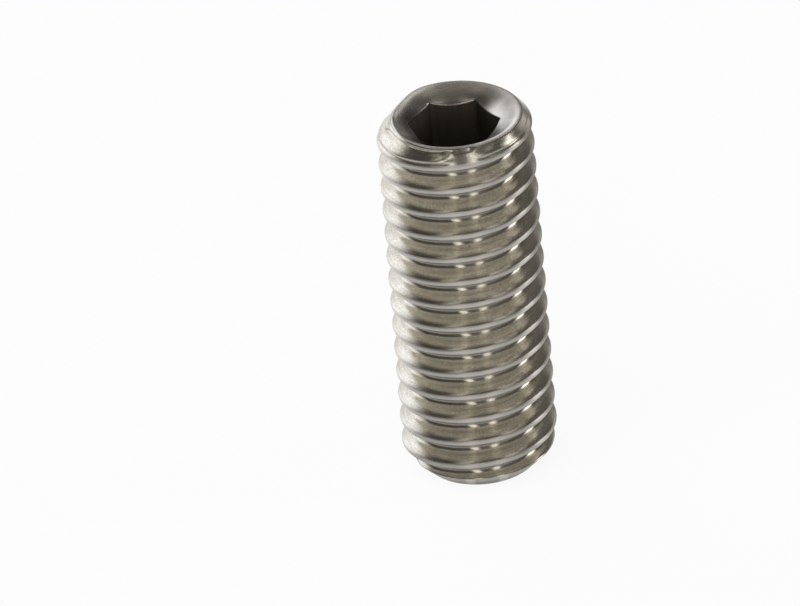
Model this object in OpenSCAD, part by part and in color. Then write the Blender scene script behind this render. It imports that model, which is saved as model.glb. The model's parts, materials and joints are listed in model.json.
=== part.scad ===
// Grub set screw: a headless screw threaded from end to end, turned by a
// hexagon key in the socket at one end, with a bevelled flat point at the other.
// +Z is the screw axis, the origin is the middle of the point face, the socket is up.

/* [Thread] */
// Nominal thread diameter
thread_d = 6; // [5:0.1:10]
// Distance from one crest to the next along the axis
pitch = 1; // [0.7:0.05:1.25]
// How far the rolled crests stop short of the nominal radius
crest_relief = 0.035; // [0:0.005:0.08]
// Depth of the first crest below the socket end, on the -Y side
first_crest = 0.62; // [0:0.01:1.5]
// Depth below the socket end over which the groove gets shallower and ends under the rim
run_out = 0.8; // [0.5:0.05:1.5]

/* [Body] */
// Length from the point face to the socket end
length = 15; // [8:0.5:25]
// Width of the bevel round the point, measured along the radius
point_bevel = 0.88; // [0.6:0.02:1.2]
// Slope of the bevel round the point, up from the point face, in degrees
point_slope = 45; // [30:1:60]
// Width of the bevel round the socket end, measured along the radius
top_bevel = 0.37; // [0.2:0.01:0.6]
// Slope of the bevel round the socket end, down from the end face, in degrees
top_slope = 50; // [30:1:60]
// Width of the flat rim between the bevel and the socket's mouth
rim_land = 0.25; // [0.1:0.01:0.5]

/* [Socket] */
// Distance across the flats of the hexagon socket
socket_flats = 3.02; // [1.5:0.001:3.8]
// Depth of the full hexagon below the socket end
socket_depth = 3.5; // [1.5:0.1:6]
// Full angle of the cone that leads the key in, in degrees
mouth_angle = 120; // [90:1:140]
// Full angle of the drill cone under the hexagon, in degrees
drill_angle = 118; // [90:1:140]

/* [Hidden] */
flank = 30;                                  // half of the 60 degree thread angle
crest_r = thread_d / 2 - crest_relief;
root_r = thread_d / 2 - 0.6134 * pitch;      // bottom of the rounded root
root_round = 0.1443 * pitch;                 // radius of the rounded root
crest_flat = pitch / 8 + 2 * crest_relief * tan(flank);
point_r = crest_r - point_bevel;
rim_r = crest_r - top_bevel;
mouth_r = rim_r - rim_land;
hex_r = socket_flats / 2 / cos(30);
pilot_r = socket_flats / 2;                  // the drill cone's top just touches the flats
drill_h = pilot_r / tan(drill_angle / 2);
mouth_h = mouth_r / tan(mouth_angle / 2);

// The groove: its outline, then the turns that carry it up the screw.
over = 0.05 * pitch;                         // how far the cutter stands out of the crest
half_w = (pitch - crest_flat) / 2 + over * tan(flank);
tangent_r = root_r + root_round * (1 - sin(flank));
tangent_z = root_round * cos(flank);
outline = [
    [crest_r + over, half_w],
    [tangent_r, tangent_z],
    [root_r, 0],
    [tangent_r, -tangent_z],
    [crest_r + over, -half_w]
];
count = len(outline);
groove_front = length - first_crest - pitch / 2;   // groove middle on the -Y side
turns_down = ceil(groove_front / pitch + 0.75);
turns_up = ceil(first_crest / pitch + 1.25);
turns = turns_down + turns_up;
steps = min(36, floor(12600 / (2 * count * turns)));   // facets in one turn
last = turns * steps;
function groove_point(i, p) =
    let (a = -90 + 360 * i / steps,
         z = groove_front + pitch * (i / steps - turns_down))
    [p[0] * cos(a), p[0] * sin(a), z + p[1]];

set_screw();

module set_screw() {
    color([0.62, 0.60, 0.57]) difference() {
        blank();
        difference() {
            thread_groove();
            run_out_core();
        }
        socket();
    }
}

// The turned blank, bevelled at both ends.
module blank() {
    top_h = top_bevel * tan(top_slope);
    point_h = point_bevel * tan(point_slope);
    rotate_extrude() polygon([
        [0, 0], [point_r, 0], [crest_r, point_h],
        [crest_r, length - top_h], [rim_r, length], [0, length]
    ]);
}

// A right-hand groove, as long as the screw.
module thread_groove() {
    polyhedron(
        points = [for (i = [0:last]) for (p = outline) groove_point(i, p)],
        faces = concat(
            [[for (k = [count - 1:-1:0]) k]],
            [for (i = [0:last - 1]) for (k = [0:count - 1]) each [
                [i * count + k, (i + 1) * count + (k + 1) % count, (i + 1) * count + k],
                [i * count + k, i * count + (k + 1) % count, (i + 1) * count + (k + 1) % count]
            ]],
            [[for (k = [0:count - 1]) last * count + k]]
        ),
        convexity = 20
    );
}

// The metal that the groove leaves under the rim: a cone from the root up to the end face.
module run_out_core() {
    translate([0, 0, length - run_out])
        cylinder(h = run_out, r1 = root_r, r2 = rim_r);
    translate([0, 0, length])
        cylinder(h = 3 * pitch, r = rim_r);
}

// Lead-in cone, hexagon, and the drill cone left below it.
module socket() {
    translate([0, 0, length - mouth_h])
        cylinder(h = mouth_h + 0.5, r1 = 0, r2 = mouth_r * (mouth_h + 0.5) / mouth_h);
    translate([0, 0, length - socket_depth])
        cylinder(h = socket_depth + 0.5, r = hex_r, $fn = 6);
    translate([0, 0, length - socket_depth - drill_h])
        cylinder(h = drill_h, r1 = 0, r2 = pilot_r);
}
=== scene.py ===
import json
import math
from collections import namedtuple

import bpy
import numpy as np
from mathutils import Matrix, Vector


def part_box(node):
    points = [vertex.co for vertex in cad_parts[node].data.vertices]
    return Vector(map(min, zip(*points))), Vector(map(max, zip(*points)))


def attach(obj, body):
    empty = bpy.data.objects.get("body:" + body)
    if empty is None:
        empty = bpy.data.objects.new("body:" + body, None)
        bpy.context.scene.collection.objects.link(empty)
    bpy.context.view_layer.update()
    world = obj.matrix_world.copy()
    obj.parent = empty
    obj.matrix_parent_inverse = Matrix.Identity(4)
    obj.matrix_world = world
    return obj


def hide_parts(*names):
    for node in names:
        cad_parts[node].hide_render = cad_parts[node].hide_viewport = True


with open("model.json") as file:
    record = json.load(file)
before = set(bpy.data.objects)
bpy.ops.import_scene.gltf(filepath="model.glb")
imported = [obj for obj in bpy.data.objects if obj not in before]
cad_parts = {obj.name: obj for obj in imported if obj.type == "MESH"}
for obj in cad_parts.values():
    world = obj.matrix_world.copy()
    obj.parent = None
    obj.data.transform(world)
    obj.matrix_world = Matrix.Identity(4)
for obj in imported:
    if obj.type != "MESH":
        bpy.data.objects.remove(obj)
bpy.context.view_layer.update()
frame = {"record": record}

scene = bpy.context.scene

# ---------------------------------------------------------------- sizes, in metres
# Angles round the screw count in degrees from the front, -Y, towards the right, +X.
MM = 0.001
mounts = {m["name"]: m for m in frame["record"]["mounts"]}
low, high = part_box("set_screw")
LENGTH = high.z - low.z
CREST = mounts["thread"]["dims"]["r_mm"] * MM       # rolled crest, a little under nominal
PITCH = LENGTH / 15
NOMINAL = 3 * PITCH                                 # nominal thread radius
ROOT = NOMINAL - 0.6134 * PITCH                     # bottom of the groove, as deep as ISO makes it
FIRST = 0.625 * MM                                  # first crest below the socket end, at the front
RUN_OUT = 0.8 * MM                                  # the groove ends this far below the rim
CORNER = 0.05 * MM                                  # rounding of the corners of both ends
SOFT_BEVEL = 0.10 * MM                              # rounding where the thread meets the rim's bevel
SOFT_CORE = 0.05 * MM                               # the same at the run-out and at the point's bevel
SOFT_LIP = 0.03 * MM                                # the same at the lip over the last crest
TOP_SLOPE, POINT_SLOPE = math.radians(50), math.radians(45)

# One side of a crest: distance from crest to root, radius and turn of the rounded crest, the same of
# the rounded root, and the belly of the flank between them.
Side = namedtuple("Side", "span crest crest_turn root root_turn belly")
UPPER = Side(0.55 * PITCH, 0.125 * PITCH, math.radians(52), 0.265 * PITCH, math.radians(66), 0.0257 * PITCH)
UNDER = Side(0.45 * PITCH, 0.205 * PITCH, math.radians(67.5), 0.110 * PITCH, math.radians(67.5), 0.0)

# The lip that rolling leaves over the last crest: it grows between two depths below the socket end.
LIP_FROM, LIP_FULL = 1.25 * MM, 0.95 * MM
LIP_LOW, LIP_GROWTH = 2.64 * MM, 0.30 * MM          # radius before it grows, and how much is added
LIP_ABOVE, LIP_HALF = 0.27 * MM, 0.04 * MM          # its middle over the crest, half of its flat top
LIP_SLOPE = 1.6                                     # how steeply it falls on both sides

# The stretch at the front where the groove over the last crest is filled with metal.
FILL_AT, FILL_HALF = 6, 24                          # its middle and half its width round the screw
FILL_FROM, FILL_FULL = 0.95 * MM, 0.8 * MM          # depths of the crest between which it fills
FILL_SLOPE = 0.38                                   # how fast its radius shrinks above the crest

RIM = CREST - 0.37 * MM                             # outer edge of the flat rim
# Where the rim's bevel was ground wider or narrower: change of radius, middle and half width round the screw.
RIM_CHANGES = ((-0.25 * MM, -97, 62), (0.06 * MM, 10, 60))
POINT = CREST - 0.88 * MM                           # flat of the point

# The socket: a bell-shaped mouth, nearly level at the rim and steeper inwards, which is a cone at the front.
MOUTH_START, MOUTH_BEND = 0.023, 0.377 / MM         # slope at the rim, and how it grows
CONE_R, CONE_SLOPE, CONE_SOFT = 2.40 * MM, 0.66, 0.08 * MM      # where the cone starts, slope, rounding
CONE_AT, CONE_HALF = 0, 112                         # its middle and half its width round the screw
FLATS = 3.02 * MM                                   # hexagon, across flats
HEX_EDGE = 0.05 * MM                                # rounding of the hexagon's upper edge
MOUTH_RINGS = 12                                    # rings of the mesh from the rim to that edge
DEPTH = mounts["hex_socket"]["dims"]["length_mm"] * MM
DRILL_HALF = math.radians(59)

# ---------------------------------------------------------------- camera
CAM_EL, CAM_ROLL = math.radians(30.15), math.radians(-4.85)
CAM_DISTANCE = 0.8
VIEW_WIDTH = 30.246 * MM                            # what the frame takes in at the screw
ASIDE, ABOVE = 2.552 * MM, 0.7127 * MM              # the screw's middle from the middle of the frame
across = Vector((1, 0, 0))
upward = Vector((0, math.sin(CAM_EL), math.cos(CAM_EL)))
back = Vector((0, -math.cos(CAM_EL), math.sin(CAM_EL)))
cam_x = across * math.cos(CAM_ROLL) + upward * math.sin(CAM_ROLL)
cam_y = -across * math.sin(CAM_ROLL) + upward * math.cos(CAM_ROLL)
cam_data = bpy.data.cameras.new("camera")
camera = bpy.data.objects.new("camera", cam_data)
scene.collection.objects.link(camera)
pose = Matrix((cam_x, cam_y, back)).transposed().to_4x4()
pose.translation = Vector((0, 0, 7.6 * MM)) - cam_x * ASIDE - cam_y * ABOVE + back * CAM_DISTANCE
camera.matrix_world = pose
cam_data.sensor_width = 36
cam_data.lens = 36 * CAM_DISTANCE / VIEW_WIDTH
cam_data.clip_start, cam_data.clip_end = 0.01, 20
scene.camera = camera


# ---------------------------------------------------------------- profile of the screw
def smooth_step(x, a, b):
    t = np.clip((x - a) / (b - a), 0, 1)
    return t * t * (3 - 2 * t)


def soft_min(a, b, k):
    h = np.maximum(k - np.abs(a - b), 0) / k
    return np.minimum(a, b) - h * h * k / 4


def soft_max(a, b, k):
    return -soft_min(-a, -b, k)


def flank_ends(side):
    """Distances from the crest at which the flank starts and ends."""
    return side.crest * math.sin(side.crest_turn), side.span - side.root * math.sin(side.root_turn)


def side_radius(a, side):
    """Radius at a distance a from the crest: rounded crest, flank, rounded root."""
    a1, a2 = flank_ends(side)
    r1 = CREST - side.crest * (1 - math.cos(side.crest_turn))
    r2 = ROOT + side.root * (1 - math.cos(side.root_turn))
    t = np.clip((a - a1) / (a2 - a1), 0, 1)
    crest = CREST - side.crest + np.sqrt(np.maximum(side.crest ** 2 - a * a, 0))
    root = ROOT + side.root - np.sqrt(np.maximum(side.root ** 2 - np.maximum(side.span - a, 0) ** 2, 0))
    flank = r1 + (r2 - r1) * t + side.belly * 4 * t * (1 - t)
    return np.where(a < a1, crest, np.where(a > a2, root, flank))


def side_rows(side):
    """Distances from the crest at which the mesh has a row, up to the one before the root."""
    rows = [side.crest * math.sin(side.crest_turn * k / 6) for k in range(6)]
    rows += list(np.linspace(*flank_ends(side), 8))
    return rows + [side.span - side.root * math.sin(side.root_turn * k) for k in (0.75, 0.5, 0.25)]


def turned_by(theta, centre, half):
    """1 round an angle from the front, falling to 0 at the half width on both sides."""
    off = (np.degrees(theta) + 90 - centre + 180) % 360 - 180
    return 1 - smooth_step(np.abs(off), 0.35 * half, half)


def thread_radius(theta, z):
    """Radius of the thread at an angle and a height, with the lip and the filled stretch under the rim."""
    along = z - (LENGTH - FIRST + PITCH * (theta + math.pi / 2) / (2 * math.pi))
    d = along - np.floor((along + UNDER.span) / PITCH) * PITCH      # height above this groove's crest
    r = np.where(d > 0, side_radius(np.abs(d), UPPER), side_radius(np.abs(d), UNDER))
    grown = smooth_step(z - d, LENGTH - LIP_FROM, LENGTH - LIP_FULL)
    lip = LIP_LOW + LIP_GROWTH * grown - LIP_SLOPE * np.maximum(np.abs(d - LIP_ABOVE) - LIP_HALF, 0)
    r = soft_max(r, np.where(grown > 0, lip, 0), SOFT_LIP)
    filled = turned_by(theta, FILL_AT, FILL_HALF) * smooth_step(z - d, LENGTH - FILL_FROM, LENGTH - FILL_FULL)
    return r + filled * (d > 0) * (CREST - FILL_SLOPE * d - r)


def outer_radius(theta, z):
    rim = sum((change * turned_by(theta, centre, half) for change, centre, half in RIM_CHANGES), RIM)
    core = ROOT + (rim - ROOT) * np.clip((z - LENGTH + RUN_OUT) / RUN_OUT, -1, 1)
    r = soft_max(thread_radius(theta, z), core, SOFT_CORE)
    r = soft_min(r, rim + (LENGTH - z) / math.tan(TOP_SLOPE), SOFT_BEVEL)
    return soft_min(r, POINT + z / math.tan(POINT_SLOPE), SOFT_CORE)


def mouth_depth(r, rim, front):
    """Depth of the mouth below the socket end; front is 1 where it is a cone and 0 where it is a bell."""
    inward = np.maximum(rim - r, 0)
    cone = MOUTH_START * inward + CONE_SLOPE * soft_max(CONE_R - r, 0, CONE_SOFT)
    return (1 - front) * (MOUTH_START * inward + MOUTH_BEND * inward * inward) + front * cone


# ---------------------------------------------------------------- mesh of the screw
THREAD_ZONE, RIM_ZONE, SOCKET_ZONE, POINT_ZONE = range(4)       # the material slots


class Shell:
    """A closed mesh round the Z axis, built ring by ring with one point of a ring for each column."""

    def __init__(self, columns=144):
        self.columns = columns
        self.angles = -math.pi / 2 + 2 * math.pi * np.arange(columns) / columns
        self.points, self.faces, self.zones = [], [], []
        self.zone = THREAD_ZONE

    def put(self, points):
        first = len(self.points)
        self.points.extend(points)
        return np.arange(first, len(self.points))

    def ring(self, r, z):
        r, z = np.broadcast_to(r, self.angles.shape), np.broadcast_to(z, self.angles.shape)
        return self.put(np.c_[r * np.cos(self.angles), r * np.sin(self.angles), z].tolist())

    def face(self, *ids):
        ids = tuple(dict.fromkeys(int(i) for i in ids))
        if len(ids) > 2:
            self.faces.append(ids)
            self.zones.append(self.zone)

    def add_ring(self, ring, r, z, up=True):
        """A new ring, joined to the last one; up says whether the faces between them look up or down."""
        new = self.ring(r, z)
        a, b = (ring, new) if up else (new, ring)
        for i in range(self.columns):
            n = (i + 1) % self.columns
            self.face(a[i], a[n], b[n], b[i])
        return new

    def close(self, ring, z, up=True):
        tip = self.put([[0, 0, z]])[0]
        for i in range(self.columns):
            n = (i + 1) % self.columns
            a, b = (ring[i], ring[n]) if up else (ring[n], ring[i])
            self.face(a, b, tip)

    def round_corner(self, ring, z, z_end, slope, up=True):
        """Rounds the corner from a bevel's slope at a height to level; gives the last ring and its radius."""
        r = outer_radius(self.angles, z)
        r1 = r - abs(z_end - z) / math.tan(slope)
        r2 = r1 - 0.8 * CORNER
        for t in (0.25, 0.5, 0.75, 1):
            ring = self.add_ring(ring, (1 - t) ** 2 * r + 2 * t * (1 - t) * r1 + t * t * r2,
                                 z_end + (1 - t) ** 2 * (z - z_end), up)
        return ring, r2


def add_thread(shell, z_low, z_top):
    """Helical rows between two level rings; gives both rings."""
    top = shell.ring(outer_radius(shell.angles, z_top), z_top)
    bottom = shell.ring(outer_radius(shell.angles, z_low), z_low)
    rows = np.array(side_rows(UPPER) + [UPPER.span] + [PITCH - a for a in side_rows(UNDER)[:0:-1]])
    per = len(rows)
    steps = np.arange(-(round(LENGTH / PITCH) + 3) * per, 3 * per)
    level = LENGTH - FIRST + (steps // per) * PITCH + rows[steps % per]
    margin = 0.3 * PITCH / per                      # rows nearer to an end ring than this join it
    grid = np.empty((shell.columns, len(steps)), int)
    for i, angle in enumerate(shell.angles):
        z = level + PITCH * i / shell.columns
        inside = (z > z_low + margin) & (z < z_top - margin)
        r = outer_radius(angle, z[inside])
        grid[i, z >= z_top - margin] = top[i]
        grid[i, z <= z_low + margin] = bottom[i]
        grid[i, inside] = shell.put(np.c_[r * math.cos(angle), r * math.sin(angle), z[inside]].tolist())
    last = len(steps) - 1
    for i in range(shell.columns):
        n, shift = (i + 1) % shell.columns, per if i == shell.columns - 1 else 0
        for j in range(last):
            shell.face(grid[i, j], grid[n, min(j + shift, last)], grid[n, min(j + 1 + shift, last)],
                       grid[i, j + 1])
    return bottom, top


def add_socket(shell, ring, rim):
    """Mouth, hexagon with a rounded upper edge, and the drill cone under it."""
    hexagon = FLATS / 2 / np.cos(shell.angles % (math.pi / 3) - math.pi / 6)
    front = turned_by(shell.angles, CONE_AT, CONE_HALF)
    for t in np.linspace(0, 1, MOUTH_RINGS + 1)[1:]:
        r = rim + (hexagon + HEX_EDGE - rim) * t
        ring = shell.add_ring(ring, r, LENGTH - mouth_depth(r, rim, front))
    z_edge = LENGTH - mouth_depth(hexagon, rim, front)
    z_from = LENGTH - mouth_depth(hexagon + HEX_EDGE, rim, front)
    for t in (1 / 3, 2 / 3, 1):
        ring = shell.add_ring(ring, hexagon + (1 - t) ** 2 * HEX_EDGE,
                              (1 - t) ** 2 * z_from + 2 * t * (1 - t) * z_edge + t * t * (z_edge - HEX_EDGE))
    shell.zone = SOCKET_ZONE
    z_floor = LENGTH - DEPTH
    for t in (0.3, 0.65, 0.99, 1):
        ring = shell.add_ring(ring, hexagon, (z_edge - HEX_EDGE) * (1 - t) + z_floor * t)
    pilot, drill = FLATS / 2, FLATS / 2 / math.tan(DRILL_HALF)
    ring = shell.add_ring(ring, np.minimum(hexagon, pilot * 1.0002), z_floor)   # just reaches the flats
    for t in (0.03, 0.5, 0.9):
        ring = shell.add_ring(ring, pilot * (1 - t), z_floor - drill * t)
    shell.close(ring, z_floor - drill)


def add_point(shell, ring, flat):
    for t in (0.4, 0.8):
        ring = shell.add_ring(ring, flat * (1 - t), 0, up=False)
    shell.close(ring, 0, up=False)


def screw_shell():
    shell = Shell()
    z_top, z_low = LENGTH - CORNER * math.sin(TOP_SLOPE), CORNER * math.sin(POINT_SLOPE)
    bottom, top = add_thread(shell, z_low, z_top)
    shell.zone = RIM_ZONE
    add_socket(shell, *shell.round_corner(top, z_top, LENGTH, TOP_SLOPE))
    shell.zone = POINT_ZONE
    add_point(shell, *shell.round_corner(bottom, z_low, 0, POINT_SLOPE, up=False))
    return shell


shell = screw_shell()
mesh = bpy.data.meshes.new("threaded_screw")
mesh.from_pydata(shell.points, [], shell.faces)
mesh.polygons.foreach_set("use_smooth", [True] * len(shell.faces))
mesh.polygons.foreach_set("material_index", shell.zones)
mesh.update()
screw = bpy.data.objects.new("threaded_screw", mesh)
scene.collection.objects.link(screw)


# ---------------------------------------------------------------- materials
class Nodes:
    """Short calls for building a node tree."""

    def __init__(self, tree):
        self.tree = tree

    def new(self, kind, **values):
        node = self.tree.nodes.new(kind)
        for name, value in values.items():
            setattr(node, name, value)
        return node

    def feed(self, socket, value):
        if isinstance(value, bpy.types.NodeSocket):
            self.tree.links.new(value, socket)
        elif value is not None:
            socket.default_value = value

    def math(self, op, a, b=None, clamp=False):
        node = self.new("ShaderNodeMath", operation=op, use_clamp=clamp)
        for socket, value in zip(node.inputs, (a, b)):
            self.feed(socket, value)
        return node.outputs[0]

    def plus(self, a, b):
        return self.math("ADD", a, b)

    def minus(self, a, b):
        return self.math("SUBTRACT", a, b)

    def times(self, a, b):
        return self.math("MULTIPLY", a, b)

    def most(self, a, b):
        return self.math("MAXIMUM", a, b)

    def place_on_object(self):
        """The place on the object, and its x, y and z."""
        place = self.new("ShaderNodeTexCoord").outputs["Object"]
        split = self.new("ShaderNodeSeparateXYZ")
        self.feed(split.inputs[0], place)
        return place, *split.outputs

    def from_axis(self, x, y):
        return self.math("SQRT", self.plus(self.times(x, x), self.times(y, y)))

    def azimuth(self, x, y):
        """Degrees from the front, -Y, towards the right, +X."""
        return self.math("DEGREES", self.math("ARCTAN2", x, self.times(y, -1.0)))

    def vector(self, x, y, z):
        node = self.new("ShaderNodeCombineXYZ")
        for socket, value in zip(node.inputs, (x, y, z)):
            self.feed(socket, value)
        return node.outputs[0]

    def noise(self, vector, scale, detail, rough, w=None):
        node = self.new("ShaderNodeTexNoise", noise_dimensions="3D" if w is None else "4D")
        self.feed(node.inputs["Vector"], vector)
        self.feed(node.inputs["Scale"], scale)
        self.feed(node.inputs["Detail"], detail)
        self.feed(node.inputs["Roughness"], rough)
        if w is not None:
            self.feed(node.inputs["W"], w)
        return node.outputs["Fac"]

    def between(self, value, a, b, at_a=0.0, at_b=1.0):
        """Goes smoothly from one level at a to another at b, and stays level beyond them."""
        node = self.new("ShaderNodeMapRange", interpolation_type="SMOOTHSTEP")
        for socket, v in zip(node.inputs, (value, a, b, at_a, at_b)):
            self.feed(socket, v)
        return node.outputs[0]

    def beside(self, value, centre, near, far, at_near, at_far):
        """The same by how far a value is from a centre, on either side."""
        return self.between(self.math("ABSOLUTE", self.minus(value, centre)), near, far, at_near, at_far)

    def mix(self, share, a, b):
        node = self.new("ShaderNodeMix", data_type="RGBA")
        self.feed(node.inputs[0], share)
        for socket, value in ((node.inputs[6], a), (node.inputs[7], b)):
            self.feed(socket, (*value, 1) if isinstance(value, tuple) else value)
        return node.outputs[2]

    def bump(self, height, distance, normal=None):
        node = self.new("ShaderNodeBump")
        self.feed(node.inputs["Strength"], 1.0)
        self.feed(node.inputs["Distance"], distance)
        self.feed(node.inputs["Height"], height)
        self.feed(node.inputs["Normal"], normal)
        return node.outputs[0]


class Steel(Nodes):
    """Bare steel whose gloss is smeared round the axis, with the places that its marks go by."""

    def __init__(self, name, smear):
        self.material = bpy.data.materials.new(name)
        self.material.use_nodes = True
        super().__init__(self.material.node_tree)
        self.shader = self.tree.nodes["Principled BSDF"]
        self.shader.inputs["Metallic"].default_value = 1
        self.shader.inputs["Anisotropic"].default_value = smear
        self.shader.inputs["Anisotropic Rotation"].default_value = 0.25
        tangent = self.new("ShaderNodeTangent", direction_type="RADIAL", axis="Z")
        self.feed(self.shader.inputs["Tangent"], tangent.outputs[0])
        self.place, self.x, self.y, self.z = self.place_on_object()
        self.r = self.from_axis(self.x, self.y)

    def marks(self, x_scale, y_scale, z_scale, w=None):
        """Fine marks, drawn out along the directions that have a small scale."""
        stretched = self.vector(self.times(self.x, x_scale), self.times(self.y, y_scale),
                                self.times(self.z, z_scale))
        return self.noise(stretched, 1.0, 3, 0.6, w=w)

    def cloudy(self, scale, dark, light):
        """Soft clouds between two colours; gives the clouds and the colour."""
        cloud = self.noise(self.place, scale, 3, 0.55)
        return cloud, self.mix(self.between(cloud, 0.35, 0.65), dark, light)

    def finish(self, colour, roughness, normal):
        for name, value in (("Base Color", colour), ("Roughness", roughness), ("Normal", normal)):
            self.feed(self.shader.inputs[name], value)
        return self.material


def rolled_steel():
    """Threads: bright worn crests, fine lines that rolling leaves, and painted shade that darkens the flanks
    and roots by depth in the groove.
    """
    n = Steel("rolled_thread_steel", 0.75)
    depth = n.math("DIVIDE", n.minus(CREST, n.r), CREST - ROOT, clamp=True)     # 0 at a crest, 1 at a root
    cos, sin = n.math("DIVIDE", n.x, n.r), n.math("DIVIDE", n.y, n.r)
    lines = n.noise(n.vector(n.times(cos, 1.5), n.times(sin, 1.5), n.times(n.z, 14000)), 1.0, 3, 0.6,
                    w=n.times(n.r, 20000))
    cloud, colour = n.cloudy(700, (0.71, 0.67, 0.575), (0.80, 0.76, 0.67))
    fleck = n.noise(n.place, 6000, 2, 0.5)
    grain = n.noise(n.place, 15000, 2, 0.6)
    stain = n.noise(n.place, 1900, 3, 0.6)
    worn = n.between(n.plus(depth, n.times(cloud, 0.05)), 0.05, 0.12, 1, 0)
    # Painted shade at the bottom of the root.
    painted_root_shade = n.between(n.plus(depth, n.times(cloud, 0.012)), 0.972, 1.0)
    dirt = (0.33, 0.305, 0.26)
    # The tones set by depth are painted shade in the groove; the stains, lines and grain are the steel's own.
    for share, tone in (
        (n.between(stain, 0.35, 0.5, 0.7, 0.0), (0.715, 0.64, 0.56)),           # pinkish stains
        (n.between(stain, 0.5, 0.65, 0.0, 0.7), (0.665, 0.665, 0.55)),          # olive stains
        (n.between(depth, 0.48, 0.85, 0.0, 0.42), (0.50, 0.465, 0.395)),        # lower half of the flank, painted shade darker towards the root
        (painted_root_shade, (0.26, 0.24, 0.205)),                                            # bottom of the root, painted shade
        (n.between(depth, 0.12, 0.42, 0.22, 0.0), (0.42, 0.39, 0.335)),         # below the crest, painted shade
        (n.between(lines, 0.35, 0.65, 0.30, 0.0), dirt),
        (n.between(grain, 0.40, 0.62, 0.36, 0.0), dirt),
        (worn, (0.72, 0.69, 0.65)),
    ):
        colour = n.mix(share, colour, tone)
    rough = n.plus(n.between(depth, 0.55, 0.9, 0.15, 0.07), n.times(lines, 0.07))
    rough = n.plus(n.plus(rough, n.times(fleck, 0.05)), n.times(worn, 0.28))
    return n.finish(colour, rough, n.bump(cloud, 0.006 * MM, n.bump(lines, 0.0020 * MM)))


def turned_steel():
    """Rim and mouth: fine turning rings, and painted shade by the hexagon, left and a little to the front."""
    n = Steel("turned_end_steel", 0.5)
    rings = n.marks(300, 300, 0.0, w=n.times(n.r, 16000))
    cloud, colour = n.cloudy(900, (0.40, 0.38, 0.345), (0.53, 0.51, 0.475))
    # Painted shade: a dark patch on the mouth by the hexagon, on the left and a little to the front.
    left = n.between(n.math("DIVIDE", n.plus(n.x, n.times(n.y, 0.25)), n.r), -0.95, -0.45, 1.0, 0.0)
    near = n.between(n.plus(n.r, n.times(cloud, 0.25 * MM)), 1.85 * MM, 2.30 * MM, 0.85, 0.0)
    colour = n.mix(n.times(left, near), colour, (0.10, 0.09, 0.08))
    return n.finish(colour, n.plus(0.2, n.times(rings, 0.12)), n.bump(rings, 0.0015 * MM))


def broached_steel():
    """Socket walls and floor: dull, painted dark as shade in the recess, with streaks along the stroke."""
    n = Steel("broached_socket_steel", 0.0)
    streaks = n.marks(9000, 9000, 500)
    cloud = n.noise(n.place, 1200, 3, 0.55)
    # Painted shade: the socket's walls and floor are coloured dark for the shade in the recess.
    colour = n.mix(n.between(streaks, 0.3, 0.7), (0.215, 0.195, 0.165), (0.26, 0.24, 0.205))
    return n.finish(colour, n.plus(0.48, n.times(cloud, 0.2)), n.bump(streaks, 0.004 * MM))


def faced_steel():
    """Flat of the point: concentric facing marks."""
    n = Steel("faced_point_steel", 0.4)
    rings = n.marks(200, 200, 0.0, w=n.times(n.r, 12000))
    _, colour = n.cloudy(900, (0.50, 0.475, 0.43), (0.58, 0.56, 0.525))
    return n.finish(colour, n.plus(0.24, n.times(rings, 0.14)), n.bump(rings, 0.003 * MM))


for material in (rolled_steel(), turned_steel(), broached_steel(), faced_steel()):
    mesh.materials.append(material)
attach(screw, "root")
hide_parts("set_screw")


# ---------------------------------------------------------------- floor
def staged(name, points, faces, material):
    data = bpy.data.meshes.new(name)
    data.from_pydata(points, [], faces)
    data.polygons.foreach_set("use_smooth", [True] * len(faces))
    data.materials.append(material)
    ob = bpy.data.objects.new(name, data)
    scene.collection.objects.link(ob)
    return ob


def circle(radius, z, count):
    return [(radius * math.cos(a), radius * math.sin(a), z) for a in np.arange(count) * 2 * math.pi / count]


def floor_level(n, x, y):
    """How bright the metal sees the floor, by direction round the screw and distance from it; painted light
    and shade in the floor's glow.
    """
    around, away = n.azimuth(x, y), n.from_axis(x, y)
    front, right = n.between(around, -112, -74, 1.0, 0.69), n.between(around, 30, 75, 1.0, 0.80)
    lit = n.times(front, right)                                                 # full on the left only
    for azimuth, near, far, side in ((88, 4, 12, 0.5), (-14, 2.5, 8, 0.6), (21, 2.5, 8, 0.6)):
        lit = n.most(lit, n.beside(around, azimuth, near, far, 1.0, side))      # painted light under the upright lights
    shade = n.times(n.between(around, 94, 106), n.between(away, 12 * MM, 32 * MM, 0.1, 0.70))
    lit = n.times(lit, n.minus(1.0, shade))                                     # painted shade on the far right
    lit = n.most(lit, n.between(around, 140, 180))                              # full behind
    return n.times(lit, n.between(away, 1.1 * CREST, 3 * CREST, 0.72, 1.0))     # painted shadow at the screw's foot


FLOOR_RADIUS, SEEN_WHITE = 2.0, 0.92
floor_mat = bpy.data.materials.new("pale_floor")
floor_mat.use_nodes = True
n = Nodes(floor_mat.node_tree)
base = n.tree.nodes["Principled BSDF"]
base.inputs["Base Color"].default_value = (0.9, 0.9, 0.9, 1)
base.inputs["Roughness"].default_value = 0.8
base.inputs["Specular IOR Level"].default_value = 0.1
_, x, y, _ = n.place_on_object()
path = n.new("ShaderNodeLightPath")
glossy = path.outputs["Is Glossy Ray"]
glow = n.new("ShaderNodeEmission")
glow.inputs["Color"].default_value = (1, 1, 1, 1)
n.feed(glow.inputs["Strength"], n.minus(1.0, n.times(glossy, n.minus(1.0, floor_level(n, x, y)))))
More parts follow.
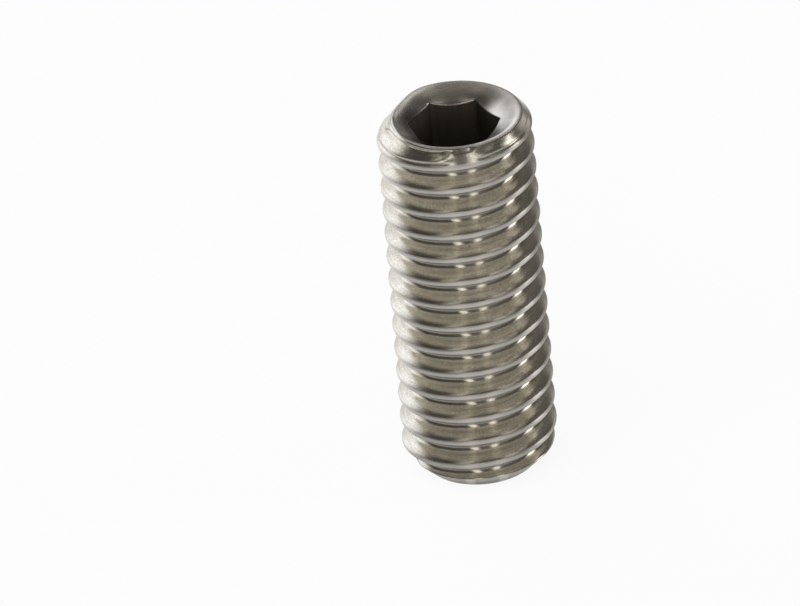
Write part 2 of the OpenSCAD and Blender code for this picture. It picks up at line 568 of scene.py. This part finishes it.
# Camera, glossy and transmission rays see mostly the white, and the rest keeps the screw's shadow.
seen = n.most(n.most(path.outputs["Is Camera Ray"], path.outputs["Is Transmission Ray"]), glossy)
white = n.new("ShaderNodeMixShader")
n.feed(white.inputs[0], n.times(seen, SEEN_WHITE))
n.feed(white.inputs[1], base.outputs[0])
n.feed(white.inputs[2], glow.outputs[0])
n.feed(n.tree.nodes["Material Output"].inputs["Surface"], white.outputs[0])
staged("floor", circle(FLOOR_RADIUS, 0, 64), [tuple(range(64))], floor_mat)

# Plain white light on everything matt.
world = bpy.data.worlds.new("studio")
scene.world = world
world.use_nodes = True
plain = world.node_tree.nodes["Background"]
plain.inputs[0].default_value = (1, 1, 1, 1)
plain.inputs[1].default_value = 1

# ---------------------------------------------------------------- room
# What the metal mirrors above the floor: a dim room with upright lights at the front and on the right,
# pale patches on its ceiling, and a bright window behind on the left.
LIGHTS = (
    # azimuth, elevation, half width, half height, soft edge, brightness
    (-14, 14, 4.5, 30, 6, 1.30),        # two upright lights at the front
    (20.5, 14, 4.5, 28, 6, 1.15),
    (93, 12, 7, 21, 5, 2.4),            # the strongest, on the right
    (-58, 68, 13, 7, 6, 0.80),          # patches on the ceiling, left and right
    (60, 65, 13, 8, 6, 0.75),
    (99, 66, 4.5, 4, 4, 1.20),
    (172, 39, 3, 3, 3, 3.20),           # small spot behind
    (84, 18, 3, 22, 4, 0.55),           # dim side of the light on the right
    (-36, 48, 12, 3.5, 4, 0.35),
    (-170, 20, 6, 12, 5, 0.90),         # behind
    (22, 14, 18, 30, 14, 0.06),         # faint glows
    (155, 8, 22, 14, 14, 0.15),
    (131, 7, 11, 12, 8, 0.35),
    (180, 62, 40, 12, 14, 0.28),        # high behind, on both sides of where the azimuth turns over
    (-180, 62, 40, 12, 14, 0.28),
)
ROOM_ROWS, ROOM_COLUMNS = 24, 48


def room_level(n, around, height):
    level = n.plus(n.between(height, 0, 14, 0.14, 0.075), n.between(around, -60, 0, 0, 0.035))
    level = n.plus(level, n.between(height, 68, 84, 0.0, 0.10))
    level = n.plus(level, n.between(height, 36, 50, 0.018, 0.0))
    for azimuth, elevation, wide, tall, soft, bright in LIGHTS:
        light = n.times(n.beside(around, azimuth, wide - soft / 2, wide + soft, bright, 0),
                        n.beside(height, elevation, tall - soft / 2, tall + soft, 1, 0))
        level = n.plus(level, light)
    return level


def window_level(n, around, height):
    window = n.times(n.between(around, -136, -97, 1.55, 0), n.between(around, -162, -138, 0.58, 1.0))
    window = n.times(window, n.between(around, -180, -173, 0.35, 1.0))
    window = n.times(window, n.between(height, 30, 50, 1, 0))
    beyond = n.times(n.between(around, 165, 180, 0, 0.3), n.between(height, 14, 30, 1, 0))
    return n.plus(window, beyond)


def add_room():
    material = bpy.data.materials.new("room")
    material.use_nodes = True
    n = Nodes(material.node_tree)
    n.tree.nodes.remove(n.tree.nodes["Principled BSDF"])
    _, x, y, z = n.place_on_object()
    around, height = n.azimuth(x, y), n.math("DEGREES", n.math("ARCSINE", z))
    window = window_level(n, around, height)
    tint = n.mix(n.between(height, 30, 70), (1.0, 0.975, 0.94), (1.0, 0.95, 0.84))
    tint = n.mix(n.math("MULTIPLY", window, 0.6, clamp=True), tint, (0.94, 0.98, 1.06))
    glow = n.new("ShaderNodeEmission")
    n.feed(glow.inputs["Color"], tint)
    n.feed(glow.inputs["Strength"], n.plus(room_level(n, around, height), window))
    n.feed(n.tree.nodes["Material Output"].inputs["Surface"], glow.outputs[0])
    points, faces = [], []
    for i in range(ROOM_ROWS):
        e = math.radians(0.5 + 89.5 * i / ROOM_ROWS)
        points += circle(math.cos(e), math.sin(e), ROOM_COLUMNS)
    points.append((0, 0, 1))
    top = len(points) - 1
    for i in range(ROOM_ROWS):
        for j in range(ROOM_COLUMNS):
            a, b = i * ROOM_COLUMNS + j, i * ROOM_COLUMNS + (j + 1) % ROOM_COLUMNS
            faces.append((a, b, top) if i == ROOM_ROWS - 1 else (a, b, b + ROOM_COLUMNS, a + ROOM_COLUMNS))
    room = staged("room", points, faces, material)
    room.visible_camera = False
    room.visible_shadow = False
    material.cycles.emission_sampling = "NONE"


add_room()

# ---------------------------------------------------------------- lamp
# Soft light from above for the floor and anything matt; the metal mirrors the room instead of it.
LAMP_AZIMUTH, LAMP_ELEVATION = math.radians(-40), math.radians(62)
LAMP_DISTANCE, LAMP_SIZE, LAMP_POWER = 0.8, 0.7, 4.0
lamp_data = bpy.data.lights.new("overhead", "AREA")
lamp_data.size, lamp_data.energy = LAMP_SIZE, LAMP_POWER
lamp = bpy.data.objects.new("overhead", lamp_data)
way = Vector((math.sin(LAMP_AZIMUTH) * math.cos(LAMP_ELEVATION),
              -math.cos(LAMP_AZIMUTH) * math.cos(LAMP_ELEVATION), math.sin(LAMP_ELEVATION)))
lamp.location = way * LAMP_DISTANCE + Vector((0, 0, LENGTH / 2))
lamp.rotation_euler = way.to_track_quat("Z", "Y").to_euler()
lamp.visible_glossy = False
scene.collection.objects.link(lamp)

scene.view_settings.view_transform = "Standard"
